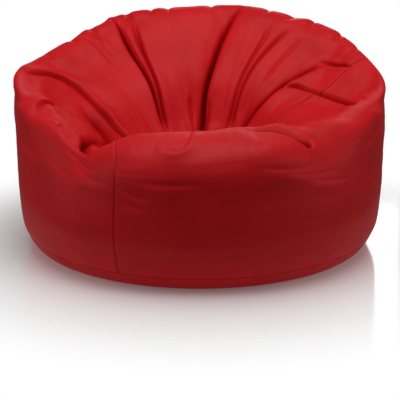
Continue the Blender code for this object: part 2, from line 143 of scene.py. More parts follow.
# A stitch or a tooth is a bar: its sides, where its rings lie, and how thin its end rings are.
BAR_SIDES = 6
BAR_RINGS = (-0.5, -0.3, 0.3, 0.5)
BAR_TIP = 0.55

# Where the back meets the arms, the wall's top edge comes to a corner.
CORNERS = (
    ((-76, 8.6), (-85, 8.4), (-92, 8.2), (-100, 8.5), (-112, 8.8)),
    ((72, 8.6), (82, 8.4), (90, 8.2), (98, 8.5), (109, 8.8)),
)
CORNER_RIDGE = 0.013
CORNER_WIDTH = 0.010

# ---- small wrinkles ----
WALL_RIPPLE = 0.0004
INNER_RIPPLE = 0.0012
PUCKER_WIDTH = 0.008
PUCKER_REACH = 0.025
PUCKER_FLANK = 0.3  # share of a pucker's depth by which its flanks puff up
ROLL_WRINKLE_DEPTHS = (0.0010, 0.0025)
ROLL_WRINKLE_WIDTH = 0.007
ROLL_WRINKLE_FLANK = 0.0008
ROLL_WRINKLE_REACH = 0.012
WALL_WRINKLE_WIDTH = 0.008
WALL_WRINKLE_FLANK = 0.002
WALL_WRINKLE_REACH = 0.018
WALL_WRINKLE_SAG = 0.08  # rows by which its middle hangs below its ends

# ---- cloth simulation ----
CLOTH_ROW_STEP = 2
CLOTH_COLUMN_STEP = 3
CLOTH_PRESSURE = 2.0
CLOTH_GROWTH = 0.014
CLOTH_SMOOTHING = 2
SOFT_SHARE = 0.5  # the share of a pleat's depth that is there before the cloth simulation
CLOTH_CAP = 0.022
CLOTH_FRAMES = 20
CLOTH_QUALITY = 4
CLOTH_MASS = 0.3
CLOTH_STRETCH_STIFFNESS = 20
CLOTH_SHEAR_STIFFNESS = 10
CLOTH_BENDING_STIFFNESS = 0.8
CLOTH_DAMPING = 4
CREASE_FREE = 0.003  # creases deeper than this begin to hold their place
CREASE_HELD = 0.010  # creases deeper than this don't move
ZIP_HOLD = 4.0  # degrees past the zip slot over which the wall's bottom is held
ZIP_HOLD_ROW = BASE_SEAM_ROW + 1.1
# The corners where the back meets the arms, at these azimuths, hold too: in full near them, then less.
SHARP_CORNERS = (94.0, 266.0)
CORNER_ROW = 8.4
CORNER_HOLD = 8.0
CORNER_HOLD_FADE = 12.0
CORNER_HOLD_ROWS = 0.7
CORNER_HOLD_ROWS_FADE = 0.6

# ---- colours: the darkest and lightest of each finish ----
WHITE = (1.0, 1.0, 1.0)
RED = (0.60, 0.008, 0.011)
RED_RANGE = ((0.54, 0.005, 0.008), (0.62, 0.008, 0.012))
CREASE_PAINTED_SHADE = (0.62, 0.42, 0.42)  # painted shade: multiplies the red at the bottom of the creases, where shadow falls
# where the painted shade in the creases begins and where it reaches its darkest, on the attribute's scale
CREASE_SHADE_RANGE = (0.1, 1.0)
LEATHERETTE_SHINE = 0.14
THREAD_RANGE = ((0.34, 0.006, 0.010), (0.50, 0.014, 0.018))
ZIP_RANGE = ((0.26, 0.006, 0.009), (0.36, 0.010, 0.013))
LINING_RANGE = ((0.74, 0.74, 0.72), (0.84, 0.84, 0.82))
LINER_ZIP_RANGE = ((0.70, 0.70, 0.68), (0.80, 0.80, 0.78))
METAL_RANGE = ((0.42, 0.42, 0.44), (0.58, 0.58, 0.60))
BEAD_RANGE = ((0.82, 0.82, 0.81), (0.92, 0.92, 0.91))
BEADS_PER_METRE = 240.0

# ---- stage ----
WORLD_LIGHT = 0.13
FLOOR_RADIUS = 1.05
FLOOR_SIDES = 96
FLOOR_BELOW = 0.0005
FLOOR_COLOUR = (0.95, 0.95, 0.95)
FLOOR_ROUGHNESS = 0.16
FLOOR_GLOW = 0.10
FLOOR_COAT_IOR = 1.9
FLOOR_COAT_ROUGHNESS = 0.12
FLOOR_FADE = (0.48, 0.98 * FLOOR_RADIUS)  # the radii between which the floor fades out
# name, place, target, size and power
LIGHTS = (
    ("overhead", (0.0, -0.35, 2.5), (0.0, 0.05, 0.3), (2.2, 1.6), 39.0),
    ("left_side", (-2.6, -0.9, 1.1), (0.0, 0.0, 0.3), (1.2, 1.6), 11.0),
    ("right_side", (2.6, -0.9, 1.1), (0.0, 0.0, 0.3), (1.2, 1.6), 10.0),
    ("behind", (0.4, 2.8, 1.3), (0.0, 0.0, 0.3), (1.6, 1.2), 14.0),
)
CAMERA_TARGET = Vector((0.0, 0.0, 0.110))
CAMERA_DISTANCE = 3.144
CAMERA_ELEVATION = 16.0
CAMERA_LENS = 90.9
CAMERA_SENSOR = 36.0

# ---- the master grid ----
COLUMNS = 720
DISC_COLUMNS = 240
SEAT_DISC_ROWS = 16
BASE_PANEL_ROWS = 40
# The discs are gathered a little where they are sewn in: how deep, in waves of so many to the turn,
# fading out over GATHER_REACH from the seam.
SEAT_GATHER = 0.0012
BASE_GATHER = 0.0006
GATHER_WAVES = (17, 29, 43, 61)
GATHER_PHASES = 6.28  # each wave starts anywhere in a turn
GATHER_REACH = 0.025
GATHER_START = 0.006
CREASE_SHADE_DEPTH = 0.030  # creases this deep get the darkest painted shade
LINER_DEPTH = 0.012
FILL_DEPTH = 0.016
INNER_REACH = 8  # rows and columns either way over which a layer is drawn in under a crease
INNER_STEP = 3
# Grid rows in each stretch of the profile between key points, so that rows lie about 5 mm apart.
ROWS_PER_KEY = {3: 8, 4: 24, 5: 20, 6: 20, 7: 16, 8: 12, 9: 12, 10: 16, 11: 32, 12: 22, 13: 16}

# ---- folds ----
# A fold is a valley along a path of (azimuth, row) points. depth and width are the valley's; a ridge
# has a negative depth. left and right are how far its flanks puff up, seen from outside along the
# path, at reach from its bottom. start and end are the shares of its length over which it fades in
# and out.
Fold = namedtuple(
    "Fold", "path depth width left right reach start end", defaults=(0.0, 0.0, 0.03, 0.2, 0.2)
)
PATH_POINTS = 28
FOLD_LIMIT = 4.5  # widths or reaches from its path beyond which a fold does nothing
FLANK_RISE = 3.0
FLANK_SPREAD = 1.8
FLANK_GAIN = 1.3
VALLEY_ROUNDING = 1e-6  # square metres

# the deep pleat right of the middle of the back: a thin crease that opens further down
DEEP_PATH = ((161, 8.3), (162.5, 9.4), (166, 10.5), (171, 11.5), (176, 12.3), (178, 13.2), (179, 13.9))

PLEATS = [
    Fold(DEEP_PATH, 0.038, 0.0060, 0.012, 0.010, 0.030, 0.55, 0.1),
    Fold(DEEP_PATH, 0.014, 0.0040, 0.0, 0.0, 0.020, 0.10, 0.1),
    # the double pleat left of it, where the third seam runs
    Fold(((-143.5, 9.05), (-143.5, 10.0), (-143.5, 11.0), (-143.5, 12.0), (-143.5, 13.6)),
         0.024, 0.0050, 0.010, 0.002, 0.022, 0.25, 0.2),
    Fold(((-151, 9.3), (-150, 10.3), (-148.5, 11.5), (-147, 12.7), (-146, 13.7)),
         0.028, 0.0050, 0.002, 0.010, 0.022, 0.3, 0.2),
    # pleats at the right of the back
    Fold(((148, 9.8), (148, 10.8), (149, 11.4), (150.5, 12.0), (152, 12.8), (153, 13.5)),
         0.014, 0.0050, 0.005, 0.005, 0.018, 0.35, 0.15),
    Fold(((137, 9.8), (140, 10.5), (144, 11.2), (147, 11.8), (148.5, 12.5), (149, 13.5)),
         0.016, 0.0050, 0.008, 0.005, 0.018, 0.30, 0.15),
    Fold(((130, 10.2), (134, 10.8), (136, 11.4), (137, 12.2)),
         0.007, 0.0060, 0.004, 0.002, 0.018, 0.3, 0.4),
    # the back folding over the right arm
    Fold(((117, 10.8), (121, 11.1), (124, 11.5), (126, 11.8), (129, 12.2), (133, 12.5), (137, 13.0),
          (139, 13.7)),
         0.030, 0.0055, 0.012, 0.004, 0.022, 0.2, 0.15),
    Fold(((122, 11.0), (119, 10.8), (114, 10.6), (109, 10.3), (105, 10.1)),
         0.024, 0.0045, 0.007, 0.007, 0.012, 0.35, 0.35),
    # the right arm's own crease, with lips at its outer end, and two small ones beyond it
    Fold(((125, 11.85), (118, 11.62), (112, 11.5), (104, 11.35), (96, 11.1), (88, 10.7), (78, 10.2)),
         0.026, 0.0055, 0.008, 0.012, 0.018, 0.15, 0.25),
    Fold(((88, 10.9), (80, 10.4), (74, 9.9)), 0.006, 0.0050, 0.002, 0.003, 0.012, 0.4, 0.4),
    Fold(((91, 10.5), (84, 10.0), (78, 9.6)), 0.005, 0.0050, 0.002, 0.003, 0.012, 0.4, 0.4),
    # the back ends in a lip over the left arm
    Fold(((-97, 9.2), (-100, 9.7), (-104, 10.1), (-108, 10.6), (-110, 11.15), (-108, 11.5), (-104, 11.85),
          (-100, 12.25), (-96, 12.65), (-93, 13.4)),
         0.020, 0.0038, 0.011, 0.0, 0.016, 0.08, 0.15),
    # the left arm's own crease: a shallow one over the arm, then a deep wedge inside it
    Fold(((-66, 8.8), (-75, 9.9), (-84, 10.8), (-90, 11.2)), 0.012, 0.0060, 0.012, 0.004, 0.020, 0.35, 0.2),
    Fold(((-94, 11.15), (-90, 11.45), (-84, 11.6), (-76, 11.7), (-68, 11.75)),
         0.036, 0.0080, 0.0, 0.010, 0.028, 0.3, 0.3),
    Fold(((-102, 11.4), (-96, 11.8), (-86, 12.1), (-74, 12.1), (-62, 11.8), (-52, 11.1), (-46, 10.4)),
         0.050, 0.028, 0.0, 0.0, 0.03, 0.35, 0.35),
    Fold(((-57, 8.8), (-57, 9.3), (-60, 9.8)), 0.008, 0.0050, 0.004, 0.004, 0.012, 0.3, 0.3),
    # shallow pleats of the back, left of the double pleat
    Fold(((-128, 9.3), (-131, 10.3), (-133, 11.3)), 0.005, 0.008, 0.003, 0.003, 0.02),
    Fold(((-135, 9.8), (-134, 10.6), (-134, 11.2)), 0.004, 0.007, 0.002, 0.003, 0.018),
    # small pleats at the foot of the deep one
    Fold(((-172, 12.2), (-174, 13.0), (-175, 13.8)), 0.010, 0.0055, 0.003, 0.003, 0.015),
    Fold(((172, 12.3), (174, 12.9), (175, 13.8)), 0.010, 0.0055, 0.003, 0.003, 0.015),
    # where the arms meet the front roll: a bulge and a pucker at the right, then a pucker at the left
    # and its flanks
    Fold(((64, 9.6), (54, 9.7), (45, 9.9), (37, 10.0), (29, 9.9), (21, 9.8)),
         -0.036, 0.030, 0.0, 0.0, 0.03, 0.4, 0.3),
    Fold(((38, 7.9), (36, 8.2), (34, 8.6), (31, 8.9), (26, 9.1), (19, 9.2)),
         0.058, 0.0095, 0.009, 0.004, 0.018, 0.08, 0.35),
    Fold(((-37.5, 8.0), (-40, 8.7), (-44, 9.4), (-51, 10.4), (-59, 11.2), (-65, 11.7)),
         0.050, 0.0085, 0.0, 0.0, 0.028, 0.10, 0.3),
    Fold(((-40, 8.7), (-44, 9.4), (-51, 10.4), (-59, 11.2), (-65, 11.7)),
         0.0, 0.0085, 0.006, 0.009, 0.028, 0.55, 0.3),
    # the dip in the middle of the front roll
    Fold(((-14, 8.3), (-9, 7.95), (-5, 8.1), (-3.5, 8.8), (-3, 9.8)),
         0.007, 0.0040, 0.0, 0.006, 0.012, 0.3, 0.3),
]


# ---- the form ----
def cubic(t, first, slope_in, last, slope_out):
    """A cubic from first to last as t goes from 0 to 1, with its slopes there."""
    return (
        (2 * t**3 - 3 * t**2 + 1) * first
        + (t**3 - 2 * t**2 + t) * slope_in
        + (3 * t**2 - 2 * t**3) * last
        + (t**3 - t**2) * slope_out
    )


def rim_at(azimuth):
    """The rim station at each azimuth: a cubic through the neighbouring rows of RIM_STATIONS."""
    table = np.array(RIM_STATIONS, float)
    turn = np.array((360.0, 0, 0, 0, 0, 0, 0))
    table = np.vstack([table - turn, table, table + turn])
    at = table[:, 0]
    azimuth = np.mod(azimuth, 360.0)
    i = np.searchsorted(at, azimuth, side="right") - 1
    span = (at[i + 1] - at[i])[..., None]
    t = (azimuth[..., None] - at[i][..., None]) / span
    slope_in = (table[i + 1] - table[i - 1]) / (at[i + 1] - at[i - 1])[..., None] * span
    slope_out = (table[i + 2] - table[i]) / (at[i + 2] - at[i])[..., None] * span
    value = cubic(t, table[i], slope_in, table[i + 1], slope_out)
    return np.moveaxis(value[..., 1:], -1, 0)


def smooth_step(t):
    t = np.clip(t, 0.0, 1.0)
    return t * t * (3 - 2 * t)


def off_azimuth(azimuth, middle):
    """How many degrees each azimuth is from another, either way."""
    return np.abs(np.mod(azimuth - middle + 180.0, 360.0) - 180.0)


def outward(azimuth):
    a = np.radians(azimuth)
    return np.stack([np.sin(a), -np.cos(a), np.zeros_like(a)], -1)


def profile(azimuth):
    """The profile's key points at each azimuth."""
    rim_radius, rim_height, wall_radius, shoulder_radius, roll, drop = rim_at(azimuth)
    shoulder = rim_height - roll
    back = 0.5 - 0.5 * np.cos(np.radians(azimuth))
    rise = rim_height - SEAT_HEIGHT
    inner = rim_radius - 0.100
    # the wall stands upright just above its seam where the zip is, and leans out elsewhere
    lean = WALL_LEAN * smooth_step((off_azimuth(azimuth, ZIP_MIDDLE) - ZIP_HALF_ANGLE) / WALL_LEAN_FADE)
    # radius, height, and how far the point's centre has moved from the origin to the seat's centre
    keys = (
        (0.0, 0.0, 0.0),
        (CONTACT_RADIUS, 0.0, 0.0),
        (CONTACT_RADIUS + 0.045, 0.010, 0.0),
        (BASE_SEAM_RADIUS, BASE_SEAM_HEIGHT, 0.0),
        (BASE_SEAM_RADIUS + lean, BAND_TOP, 0.0),
        (wall_radius, 0.48 * shoulder, 0.0),
        (0.6 * wall_radius + 0.4 * shoulder_radius, 0.78 * shoulder, 0.0),
        (shoulder_radius, shoulder, 0.0),
        (0.35 * rim_radius + 0.65 * shoulder_radius, rim_height - 0.25 * roll, 0.0),
        (rim_radius, rim_height, 0.0),
        (rim_radius - 0.045, rim_height - 0.012 - 0.020 * back, 0.1),
        (inner, rim_height - drop * rise, 0.25),
        (0.5 * (inner + SEAT_RADIUS), SEAT_HEIGHT + 0.42 * rise, 0.6),
        (SEAT_RADIUS + 0.060, SEAT_HEIGHT + 0.10 * rise, 0.9),
        (SEAT_RADIUS, SEAT_HEIGHT, 1.0),
        (0.0, SEAT_HEIGHT - SEAT_DIP, 1.0),
    )
    points = []
    for radius, height, shift in keys:
        point = outward(azimuth) * np.broadcast_to(radius, azimuth.shape)[..., None]
        point = point + SEAT_CENTRE * shift
        point[..., 2] += height
        points.append(point)
    return np.stack(points, -2)


def surface(azimuth, row):
    """Points of the smooth cover: a centripetal Catmull-Rom curve through each profile's keys."""
    azimuth, row = np.broadcast_arrays(np.asarray(azimuth, float), np.asarray(row, float))
    keys = profile(azimuth)
    before = 2 * keys[..., :1, :] - keys[..., 1:2, :]
    after = 2 * keys[..., -1:, :] - keys[..., -2:-1, :]
    padded = np.concatenate([before, keys, after], -2)
    first = np.clip(np.floor(row).astype(int), 0, keys.shape[-2] - 2)

    def key(step):
        return np.take_along_axis(padded, (first + step)[..., None, None], axis=-2)[..., 0, :]

    def knot(a, b):
        return np.maximum(np.sqrt(np.linalg.norm(b - a, axis=-1)), 1e-4)[..., None]

    def between(a, b, ta, tb):
        return a * (tb - t) / (tb - ta) + b * (t - ta) / (tb - ta)

    p0, p1, p2, p3 = (key(step) for step in range(4))
    t0 = np.zeros(row.shape + (1,))
    t1 = knot(p0, p1)
    t2 = t1 + knot(p1, p2)
    t3 = t2 + knot(p2, p3)
    t = t1 + (row - first)[..., None] * (t2 - t1)
    a1, a2, a3 = between(p0, p1, t0, t1), between(p1, p2, t1, t2), between(p2, p3, t2, t3)
    b1, b2 = between(a1, a2, t0, t2), between(a2, a3, t1, t3)
    return between(b1, b2, t1, t2)


def grid_normals(points):
    """Outward normals of a grid that closes on itself along its first axis."""
    across = np.roll(points, -1, 0) - np.roll(points, 1, 0)
    along = np.gradient(points, axis=1)
    normal = np.cross(across, along)
    return normal / np.maximum(np.linalg.norm(normal, axis=-1, keepdims=True), 1e-12)


def smooth_path(path, count):
    """Points on the cover along a path of (azimuth, row) points, and their share of its length."""
    path = np.array(path, float)
    knots = np.linspace(0, 1, len(path))
    ends = np.linspace(0, 1, count)
    slopes = np.gradient(path, knots, axis=0)
    i = np.clip(np.searchsorted(knots, ends, side="right") - 1, 0, len(path) - 2)
    step = knots[1]
    t = ((ends - knots[i]) / step)[:, None]
    places = cubic(t, path[i], slopes[i] * step, path[i + 1], slopes[i + 1] * step)
    points = surface(places[:, 0], places[:, 1])
    lengths = np.r_[0, np.cumsum(np.linalg.norm(np.diff(points, axis=0), axis=1))]
    return points, lengths / lengths[-1]


def fold_height(points, normals, item):
    """How far one fold moves each point along its normal."""
    path, share = smooth_path(item.path, PATH_POINTS)
    limit = FOLD_LIMIT * max(item.width, item.reach)
    near = np.all(points > path.min(0) - limit, axis=-1) & np.all(points < path.max(0) + limit, axis=-1)
    where = np.nonzero(near)
    p, n = points[where], normals[where]
    best = np.full(len(p), 1e9)
    side = np.zeros(len(p))
    at = np.zeros(len(p))
    for a, b, share_a, share_b in zip(path, path[1:], share, share[1:]):
        step = b - a
        t = np.clip(((p - a) @ step) / (step @ step), 0, 1)
        off = p - (a + t[:, None] * step)
        distance = np.linalg.norm(off, axis=1)
        closer = distance < best
        best = np.where(closer, distance, best)
        turn = np.einsum("ij,ij->i", np.cross(n, step), off)
        side = np.where(closer, np.sign(turn), side)
        at = np.where(closer, share_a + t * (share_b - share_a), at)
    fade = smooth_step(at / max(item.start, 1e-6)) * smooth_step((1 - at) / max(item.end, 1e-6))
    flank = np.where(side > 0, item.left, item.right)
    x = best / item.reach
    puff = flank * (1 - np.exp(-FLANK_RISE * x)) * np.exp(-((x / FLANK_SPREAD) ** 2)) * FLANK_GAIN
    valley = item.depth * np.exp(-np.sqrt(best**2 + VALLEY_ROUNDING) / item.width)
    height = np.zeros(points.shape[:-1])
    height[where] = fade * (puff - valley)
    return height


def total_height(points, normals, folds):
    return sum(fold_height(points, normals, item) for item in folds)


def crest_puckers():
    """Short gathers across the rim, where each pleat pulls it in."""
    # azimuth, depth
    places = (
        (-114, 0.006), (-126, 0.007), (-135.5, 0.011), (-150.5, 0.012), (-160, 0.006), (-167, 0.005),
        (175, 0.005), (151, 0.006), (141, 0.004), (133, 0.008), (121, 0.009), (112, 0.005),
    )
    between = Fold(((-143, 8.1), (-143, 8.7), (-143, 9.4)), -0.009, 0.020, start=0.4, end=0.4)
    folds = [between]
    for a, depth in places:
        flank = PUCKER_FLANK * depth
        path = ((a, 8.3), (a + 0.5, 9.0), (a + 1, 9.8))
        folds.append(Fold(path, depth, PUCKER_WIDTH, flank, flank, PUCKER_REACH))
    return folds


def roll_wrinkles():
    """Small wrinkles over the top of the front roll."""
    places = (-19, -15, -10.5, -7, 2, 6, 9.5, 14, 18, 23, 28, 33)
    random = np.random.RandomState(7)
    folds = []
    for a in places:
        lean, top = random.uniform(-2, 2), random.uniform(8.9, 9.8)
        depth = random.uniform(*ROLL_WRINKLE_DEPTHS)
        path = ((a, 7.7), (a + lean, 8.3), (a + lean, top))
        flank = ROLL_WRINKLE_FLANK
        folds.append(Fold(path, depth, ROLL_WRINKLE_WIDTH, flank, flank, ROLL_WRINKLE_REACH, 0.3, 0.4))
    return folds


def wall_wrinkles():
    """Creases where the wall sags on the filling: they run round it and droop to one side."""
    runs = (
        # first azimuth, last azimuth, row at the first, row at the last, depth
        (-50, -30, 7.1, 6.8, 0.003), (-45, -26, 6.8, 6.5, 0.003), (-54, -38, 6.5, 6.25, 0.002),
        (-23, -12, 6.45, 6.1, 0.004), (-22, -13, 6.05, 5.8, 0.003), (-20, 2, 6.75, 6.6, 0.002),
        (14, 38, 7.1, 6.75, 0.003), (22, 47, 6.75, 6.35, 0.002), (30, 52, 6.4, 6.0, 0.002),
        (55, 78, 6.7, 7.0, 0.003), (62, 92, 6.2, 6.5, 0.003), (98, 120, 6.9, 6.6, 0.004),
        (112, 140, 6.5, 6.8, 0.004), (135, 165, 6.9, 6.5, 0.004), (150, 178, 6.1, 6.4, 0.003),
        (176, 205, 6.8, 6.5, 0.004), (192, 222, 6.3, 6.6, 0.003), (208, 232, 6.9, 6.6, 0.004),
        (228, 258, 6.4, 6.8, 0.004), (246, 272, 6.1, 6.4, 0.003), (262, 292, 6.9, 6.5, 0.004),
        (280, 302, 6.3, 6.1, 0.003),
    )
    folds = []
    for a, b, r, s, depth in runs:
        path = ((a, r), ((a + b) / 2, (r + s) / 2 - WALL_WRINKLE_SAG), (b, s))
        folds.append(Fold(path, depth, WALL_WRINKLE_WIDTH, 0.0, WALL_WRINKLE_FLANK, WALL_WRINKLE_REACH,
                          0.4, 0.4))
    return folds


def grid_rows():
    rows = []
    for key, count in ROWS_PER_KEY.items():
        rows += [key + i / count for i in range(count)]
    return np.array(rows + [float(SEAT_EDGE_ROW)])


# ---- mesh work ----
def add_object(name, data):
    obj = bpy.data.objects.new(name, data)
    bpy.context.scene.collection.objects.link(obj)
    return obj


def mesh_object(name, vertices, faces, material=None):
    mesh = bpy.data.meshes.new(name)
    mesh.from_pydata([tuple(v) for v in vertices], [], faces)
    mesh.validate()
    mesh.shade_smooth()
    if material:
        mesh.materials.append(material)
    return add_object(name, mesh)


def grid_faces(columns, rows, closed):
    faces = []
    for i in range(columns if closed else columns - 1):
        left, right = i * rows, ((i + 1) % columns) * rows
        faces += [(left + j, right + j, right + j + 1, left + j + 1) for j in range(rows - 1)]
    return faces


def leaning(azimuths):
    """The azimuths of each column at each grid row: columns near the front left seam lean with it."""
    share = np.clip(1 - off_azimuth(azimuths, FRONT_LEFT_SEAM) / LEAN_REACH, 0, 1)
    lean = resample(np.array(SEAM_LEAN, float), np.arange(len(SEAM_LEAN)), grid_rows(), 0)
    return azimuths[:, None] + share[:, None] * lean[None, :]


def columns_at(grid, azimuths):
    """Leaning columns of the master grid at any azimuths, by linear interpolation."""
    place = np.mod(leaning(azimuths), 360.0) / 360.0 * COLUMNS
    first = np.floor(place).astype(int) % COLUMNS
    share = (place - np.floor(place))[..., None]
    row = np.arange(grid.shape[1])
    return grid[first, row] * (1 - share) + grid[(first + 1) % COLUMNS, row] * share


def streaks(azimuths, rows, degrees, step, seed):
    """Smooth random values over the grid, in cells so many degrees and step rows across."""
    turns = int(round(360.0 / degrees))
    row_marks = np.arange(rows[0] - 2 * step, rows[-1] + 3 * step, step)
    values = np.random.RandomState(seed).uniform(-1.0, 1.0, (turns, len(row_marks)))
    values = resample(values, row_marks, rows, 1)
    return resample(values, np.arange(turns) * 360.0 / turns, azimuths, 0, 360.0)


def fine_wrinkles(azimuths, rows):
    """Small ripples: round the wall, and running down towards the seat inside."""
    wall = streaks(azimuths, rows, 18.0, 0.16, 11) + 0.6 * streaks(azimuths, rows, 9.0, 0.09, 12)
    inside = streaks(azimuths, rows, 4.0, 0.9, 13) + 0.6 * streaks(azimuths, rows, 2.4, 0.5, 14)
    on_wall = smooth_step((rows - 4.2) / 0.8) * (1 - smooth_step((rows - 7.2) / 0.9))
    within = smooth_step((rows - 9.0) / 1.2) * (1 - smooth_step((rows - 13.3) / 0.6))
    return WALL_RIPPLE * wall * on_wall[None, :] + INNER_RIPPLE * inside * within[None, :]


def open_zip_slot(points, azimuths, rows):
    """Lifts the wall's bottom edge above the zip, over the zip's length."""
    past = off_azimuth(azimuths, ZIP_MIDDLE) - ZIP_SLOT_HALF_ANGLE
    opened = (1 - smooth_step(past / ZIP_SLOT_END))[:, None]
    lift = (ZIP_SLOT_TOP - BASE_SEAM_HEIGHT) * np.clip(BASE_SEAM_ROW + 1 - rows, 0, 1)[None, :]
    points = points.copy()
    points[..., 2] += lift * opened
    return points


def build_cover():
    """The cover's master grid: its smooth form, its folds, and what the cloth simulation adds. Also
    the smooth form and its normals, how far inside that form each point ends up, for the layers under
    the cover, and how deep in the creases it lies, for the painted shade that darkens the creases."""
    azimuths = np.arange(COLUMNS) * 360.0 / COLUMNS
    rows = grid_rows()
    form = surface(azimuths[:, None], rows[None, :])
    normals = grid_normals(form)
    soft = [item._replace(depth=SOFT_SHARE * item.depth) for item in PLEATS]
    pleated = total_height(form, normals, soft + crest_puckers() + roll_wrinkles())
    points = form + normals * pleated[..., None]
    points = points + cloth_shift(points, pleated, rows, azimuths)
    cuts = [item._replace(depth=(1 - SOFT_SHARE) * item.depth, left=0.0, right=0.0) for item in PLEATS]
    cuts += [Fold(path, -CORNER_RIDGE, CORNER_WIDTH, start=0.45, end=0.45) for path in CORNERS]
    late = total_height(form, normals, cuts + wall_wrinkles()) + fine_wrinkles(azimuths, rows)
    points = points + normals * late[..., None]
    sunk = -np.einsum("ijk,ijk->ij", points - form, normals)
    # painted shade: how deep each point lies in the pleats' creases, which darkens the red there
    creases = [item._replace(left=0.0, right=0.0) for item in PLEATS if item.depth > 0]
    shade = np.clip(-total_height(form, normals, creases) / CREASE_SHADE_DEPTH, 0.0, 1.0)
    return open_zip_slot(points, azimuths, rows), form, normals, sunk, shade


def closed_mesh(name, points, material=None):
    """A closed mesh of a grid that runs round the bag, with a fan over each open end."""
    columns, rows = points.shape[:2]
    vertices = list(points.reshape(-1, 3)) + [points[:, 0].mean(0), points[:, -1].mean(0)]
    faces = grid_faces(columns, rows, True)
    base, seat = columns * rows, columns * rows + 1
    for i in range(columns):
        here, ahead = i * rows, (i + 1) % columns * rows
        faces.append((here, base, ahead))
        faces.append((here + rows - 1, ahead + rows - 1, seat))
    return mesh_object(name, vertices, faces, material)


def resample(values, first_places, places, axis, period=None):
    """Values given at first_places along an axis, read at places by a smooth interpolation."""
    values = np.moveaxis(values, axis, 0)
    if period:
        pad = 3
        first_places = np.r_[first_places[-pad:] - period, first_places, first_places[:pad] + period]
        values = np.concatenate([values[-pad:], values, values[:pad]])
    i = np.clip(np.searchsorted(first_places, places, side="right") - 1, 0, len(first_places) - 2)
    span = first_places[i + 1] - first_places[i]
    shape = (-1,) + (1,) * (values.ndim - 1)
    t = ((places - first_places[i]) / span).reshape(shape)
    slopes = np.gradient(values, first_places, axis=0)
    span = span.reshape(shape)
    read = cubic(t, values[i], slopes[i] * span, values[i + 1], slopes[i + 1] * span)
    return np.moveaxis(read, 0, axis)


def cloth_shift(points, height, rows, azimuths):
    """How far a cloth simulation moves each point: the cover, a little too big for its filling, is
    blown up against its seams and the bottoms of its pleats. No point moves more than CLOTH_CAP."""
    coarse = points[::CLOTH_COLUMN_STEP, ::CLOTH_ROW_STEP]
    start = coarse.reshape(-1, 3)
    obj = closed_mesh("cloth_work", coarse)
    cloth_azimuths = azimuths[::CLOTH_COLUMN_STEP]
    cloth_rows = rows[::CLOTH_ROW_STEP]
    deep = -height[::CLOTH_COLUMN_STEP, ::CLOTH_ROW_STEP]
    held = np.clip((deep - CREASE_FREE) / (CREASE_HELD - CREASE_FREE), 0.0, 1.0)
    held[:, :2] = 1.0
    held[:, -2:] = 1.0
    by_zip = off_azimuth(cloth_azimuths, ZIP_MIDDLE) < ZIP_SLOT_HALF_ANGLE + ZIP_HOLD
    held[by_zip[:, None] & (cloth_rows < ZIP_HOLD_ROW)[None, :]] = 1.0
    for middle in SHARP_CORNERS:
        past = off_azimuth(cloth_azimuths, middle) - CORNER_HOLD
        corner = 1 - smooth_step(past / CORNER_HOLD_FADE)
        above = np.abs(cloth_rows - CORNER_ROW) - CORNER_HOLD_ROWS
        top = 1 - smooth_step(above / CORNER_HOLD_ROWS_FADE)
        held = np.maximum(held, corner[:, None] * top[None, :])
    group = obj.vertex_groups.new(name="held")
    for i, weight in enumerate(held.reshape(-1)):
        if weight > 0:
            group.add([i], float(weight), "REPLACE")
    group.add([len(start), len(start) + 1], 1.0, "REPLACE")
    cloth = obj.modifiers.new("Cloth", "CLOTH")
    settings = cloth.settings
    settings.quality = CLOTH_QUALITY
    settings.mass = CLOTH_MASS
    settings.tension_stiffness = CLOTH_STRETCH_STIFFNESS
    settings.compression_stiffness = CLOTH_STRETCH_STIFFNESS
    settings.shear_stiffness = CLOTH_SHEAR_STIFFNESS
    settings.bending_stiffness = CLOTH_BENDING_STIFFNESS
    settings.air_damping = CLOTH_DAMPING
    settings.shrink_min = -CLOTH_GROWTH
    settings.use_pressure = True
    settings.uniform_pressure_force = CLOTH_PRESSURE
    settings.vertex_group_mass = "held"
    settings.effector_weights.gravity = 0.0
    cloth.collision_settings.use_collision = False
    scene = bpy.context.scene
    cloth.point_cache.frame_start = 1
    cloth.point_cache.frame_end = CLOTH_FRAMES
    for frame_number in range(1, CLOTH_FRAMES + 1):
        scene.frame_set(frame_number)
    settled = obj.evaluated_get(bpy.context.evaluated_depsgraph_get()).data
    moved = np.zeros(len(settled.vertices) * 3)
    settled.vertices.foreach_get("co", moved)
    shift = moved.reshape(-1, 3)[: len(start)] - start
    bpy.data.objects.remove(obj)
    scene.frame_set(1)
    size = np.linalg.norm(shift, axis=1)
    shift *= (CLOTH_CAP * np.tanh(size / CLOTH_CAP) / np.maximum(size, 1e-9))[:, None]
    shift = shift.reshape(coarse.shape)
    for _ in range(CLOTH_SMOOTHING):
        shift = 0.5 * shift + 0.25 * (np.roll(shift, 1, 0) + np.roll(shift, -1, 0))
        shift[:, 1:-1] = 0.5 * shift[:, 1:-1] + 0.25 * (shift[:, :-2] + shift[:, 2:])
    shift = resample(shift, cloth_rows, rows, 1)
    return resample(shift, np.arange(0, COLUMNS, CLOTH_COLUMN_STEP), np.arange(COLUMNS), 0, COLUMNS)


def seam_columns(first, last):
    """Azimuths of a panel's columns: fine near its two seams, then as close as the master grid."""
    fine = np.degrees(np.array(SEAM_COLUMNS) / BASE_SEAM_RADIUS)
    inner = np.linspace(first + fine[-1], last - fine[-1], int((last - first) / 360.0 * COLUMNS))
    return np.r_[first + fine[:-1], inner, (last - fine[:-1])[::-1]]


def seam_dip(distance):
    return SEAM_DIP * np.exp(-((distance / SEAM_DIP_WIDTH) ** 2))


def arc_distance(grid, axis):
    """How far each point is along an axis of a grid, from the axis's start."""
    steps = np.linalg.norm(np.diff(grid, axis=axis), axis=-1)
    return np.concatenate([np.zeros_like(np.take(steps, [0], axis)), np.cumsum(steps, axis)], axis)


